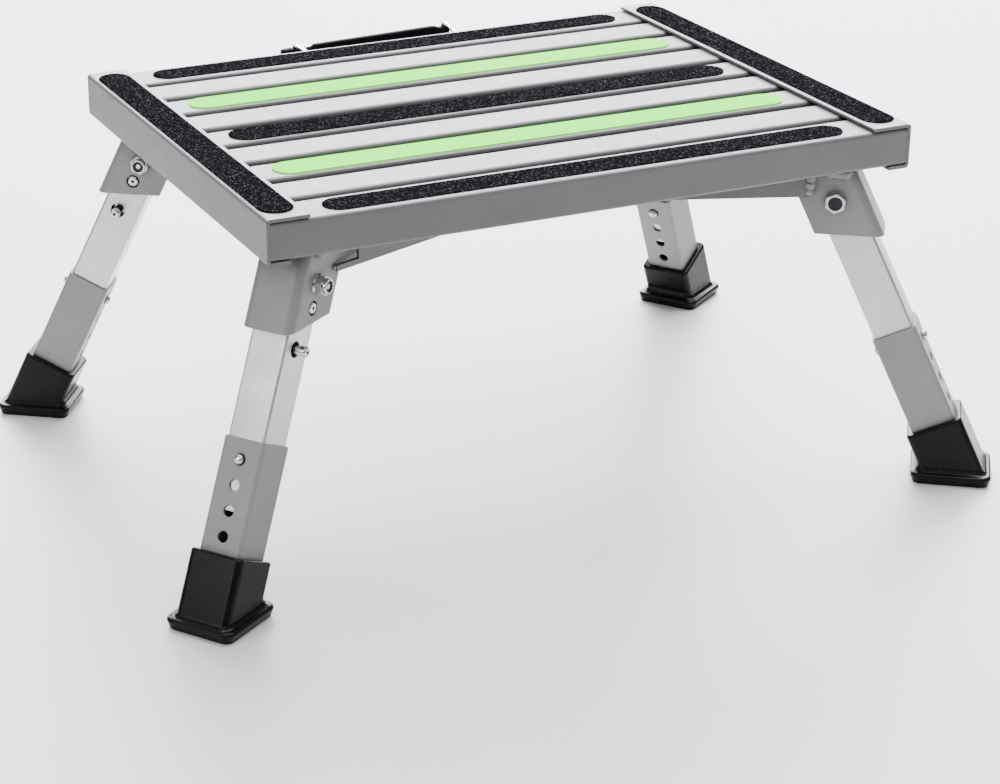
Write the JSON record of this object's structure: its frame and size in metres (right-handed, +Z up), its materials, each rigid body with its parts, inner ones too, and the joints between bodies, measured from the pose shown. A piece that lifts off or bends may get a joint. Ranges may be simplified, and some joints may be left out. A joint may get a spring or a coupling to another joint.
{
  "type": "caravan entry step",
  "caption": "Free-standing folding entry step: a slatted deck with grit and glow tread strips on splayed, height-adjustable legs with rubber boots and a carrying strap.",
  "frame": {"origin": "on the ground under the middle of the platform", "axes": "+X along the platform's length, -Y to the front edge away from the handle, +Z up"},
  "size_m": [0.6448, 0.4692, 0.2689],
  "materials": {
    "grey_paint": "satin silver-grey powder coat",
    "grit": "coarse black grit",
    "glow": "pale green glow film",
    "bare_aluminium": "drawn, brushed lengthwise",
    "zinc": "bright zinc plate",
    "boot_rubber": "semi-gloss moulded",
    "black_strap": "flexible matt strap"
  },
  "bodies": {
    "platform": {"front_rail": "grey_paint", "rear_rail": "grey_paint", "slat_1": "grey_paint", "slat_2": "grey_paint", "slat_3": "grey_paint", "slat_4": "grey_paint", "slat_5": "grey_paint", "slat_6": "grey_paint", "slat_7": "grey_paint", "left_end_channel": "grey_paint", "right_end_channel": "grey_paint", "left_grit_strip": "grit", "right_grit_strip": "grit", "front_grit_strip": "grit", "rear_grit_strip": "grit", "centre_grit_strip": "grit", "front_glow_strip": "glow", "rear_glow_strip": "glow", "front_brace": "grey_paint", "rear_brace": "grey_paint", "pivot_bracket_fl": "grey_paint", "pivot_bracket_fr": "grey_paint", "pivot_bracket_rl": "grey_paint", "pivot_bracket_rr": "grey_paint", "pivot_bolts": "zinc", "pivot_nuts": "zinc", "pivot_spacers": "zinc", "handle_loops": "zinc", "handle_strap": "black_strap"},
    "leg_fl": {"leg_tube_fl": "bare_aluminium", "height_spring_fl": "zinc"},
    "lower_leg_fl": {"leg_sleeve_fl": "grey_paint", "boot_fl": "boot_rubber"},
    "lock_fl": {"lock_plunger_fl": "zinc"},
    "button_outer_fl": {"height_button_outer_fl": "zinc"},
    "button_inner_fl": {"height_button_inner_fl": "zinc"},
    "leg_fr": {"leg_tube_fr": "bare_aluminium", "height_spring_fr": "zinc"},
    "lower_leg_fr": {"leg_sleeve_fr": "grey_paint", "boot_fr": "boot_rubber"},
    "lock_fr": {"lock_plunger_fr": "zinc"},
    "button_outer_fr": {"height_button_outer_fr": "zinc"},
    "button_inner_fr": {"height_button_inner_fr": "zinc"},
    "leg_rl": {"leg_tube_rl": "bare_aluminium", "height_spring_rl": "zinc"},
    "lower_leg_rl": {"leg_sleeve_rl": "grey_paint", "boot_rl": "boot_rubber"},
    "lock_rl": {"lock_plunger_rl": "zinc"},
    "button_outer_rl": {"height_button_outer_rl": "zinc"},
    "button_inner_rl": {"height_button_inner_rl": "zinc"},
    "leg_rr": {"leg_tube_rr": "bare_aluminium", "height_spring_rr": "zinc"},
    "lower_leg_rr": {"leg_sleeve_rr": "grey_paint", "boot_rr": "boot_rubber"},
    "lock_rr": {"lock_plunger_rr": "zinc"},
    "button_outer_rr": {"height_button_outer_rr": "zinc"},
    "button_inner_rr": {"height_button_inner_rr": "zinc"}
  },
  "joints": [
    {"name": "fold_fl", "type": "hinge", "parent": "platform", "child": "leg_fl", "pos_m": [-0.20874, -0.14508, 0.2105], "axis": [0.5707, -0.8211, 0], "range_deg": [0, 115], "deforming": ["lock_plunger_fl"]},
    {"name": "height_fl", "type": "slide", "parent": "leg_fl", "child": "lower_leg_fl", "axis": [0.3522, 0.2448, 0.9033], "range_m": [0, 0.0519], "deforming": ["height_button_outer_fl", "height_button_inner_fl"]},
    {"name": "release_fl", "type": "slide", "parent": "leg_fl", "child": "lock_fl", "axis": [-0.5707, 0.8211, 0], "range_m": [0, 0.0045], "stiffness_N_per_m": 600, "springref_m": -0.004},
    {"name": "press_outer_fl", "type": "slide", "parent": "leg_fl", "child": "button_outer_fl", "axis": [0.7418, 0.5155, -0.4289], "range_m": [0, 0.0054], "stiffness_N_per_m": 600, "springref_m": -0.004, "deforming": ["height_spring_fl"]},
    {"name": "press_inner_fl", "type": "slide", "parent": "leg_fl", "child": "button_inner_fl", "axis": [-0.7418, -0.5155, 0.4289], "range_m": [0, 0.0054], "stiffness_N_per_m": 600, "springref_m": -0.004, "deforming": ["height_spring_fl"]},
    {"name": "fold_fr", "type": "hinge", "parent": "platform", "child": "leg_fr", "pos_m": [0.20874, -0.14508, 0.2105], "axis": [0.5707, 0.8211, 0], "range_deg": [0, 115], "deforming": ["lock_plunger_fr"]},
    {"name": "height_fr", "type": "slide", "parent": "leg_fr", "child": "lower_leg_fr", "axis": [-0.3522, 0.2448, 0.9033], "range_m": [0, 0.0519], "deforming": ["height_button_outer_fr", "height_button_inner_fr"]},
    {"name": "release_fr", "type": "slide", "parent": "leg_fr", "child": "lock_fr", "axis": [-0.5707, -0.8211, 0], "range_m": [0, 0.0045], "stiffness_N_per_m": 600, "springref_m": -0.004},
    {"name": "press_outer_fr", "type": "slide", "parent": "leg_fr", "child": "button_outer_fr", "axis": [-0.7418, 0.5155, -0.4289], "range_m": [0, 0.0054], "stiffness_N_per_m": 600, "springref_m": -0.004, "deforming": ["height_spring_fr"]},
    {"name": "press_inner_fr", "type": "slide", "parent": "leg_fr", "child": "button_inner_fr", "axis": [0.7418, -0.5155, 0.4289], "range_m": [0, 0.0054], "stiffness_N_per_m": 600, "springref_m": -0.004, "deforming": ["height_spring_fr"]},
    {"name": "fold_rl", "type": "hinge", "parent": "platform", "child": "leg_rl", "pos_m": [-0.20874, 0.14508, 0.2105], "axis": [-0.5707, -0.8211, 0], "range_deg": [0, 115], "deforming": ["lock_plunger_rl"]},
    {"name": "height_rl", "type": "slide", "parent": "leg_rl", "child": "lower_leg_rl", "axis": [0.3522, -0.2448, 0.9033], "range_m": [0, 0.0519], "deforming": ["height_button_outer_rl", "height_button_inner_rl"]},
    {"name": "release_rl", "type": "slide", "parent": "leg_rl", "child": "lock_rl", "axis": [0.5707, 0.8211, 0], "range_m": [0, 0.0045], "stiffness_N_per_m": 600, "springref_m": -0.004},
    {"name": "press_outer_rl", "type": "slide", "parent": "leg_rl", "child": "button_outer_rl", "axis": [0.7418, -0.5155, -0.4289], "range_m": [0, 0.0054], "stiffness_N_per_m": 600, "springref_m": -0.004, "deforming": ["height_spring_rl"]},
    {"name": "press_inner_rl", "type": "slide", "parent": "leg_rl", "child": "button_inner_rl", "axis": [-0.7418, 0.5155, 0.4289], "range_m": [0, 0.0054], "stiffness_N_per_m": 600, "springref_m": -0.004, "deforming": ["height_spring_rl"]},
    {"name": "fold_rr", "type": "hinge", "parent": "platform", "child": "leg_rr", "pos_m": [0.20874, 0.14508, 0.2105], "axis": [-0.5707, 0.8211, 0], "range_deg": [0, 115], "deforming": ["lock_plunger_rr"]},
    {"name": "height_rr", "type": "slide", "parent": "leg_rr", "child": "lower_leg_rr", "axis": [-0.3522, -0.2448, 0.9033], "range_m": [0, 0.0519], "deforming": ["height_button_outer_rr", "height_button_inner_rr"]},
    {"name": "release_rr", "type": "slide", "parent": "leg_rr", "child": "lock_rr", "axis": [0.5707, -0.8211, 0], "range_m": [0, 0.0045], "stiffness_N_per_m": 600, "springref_m": -0.004},
    {"name": "press_outer_rr", "type": "slide", "parent": "leg_rr", "child": "button_outer_rr", "axis": [-0.7418, -0.5155, -0.4289], "range_m": [0, 0.0054], "stiffness_N_per_m": 600, "springref_m": -0.004, "deforming": ["height_spring_rr"]},
    {"name": "press_inner_rr", "type": "slide", "parent": "leg_rr", "child": "button_inner_rr", "axis": [0.7418, 0.5155, 0.4289], "range_m": [0, 0.0054], "stiffness_N_per_m": 600, "springref_m": -0.004, "deforming": ["height_spring_rr"]}
  ]
}
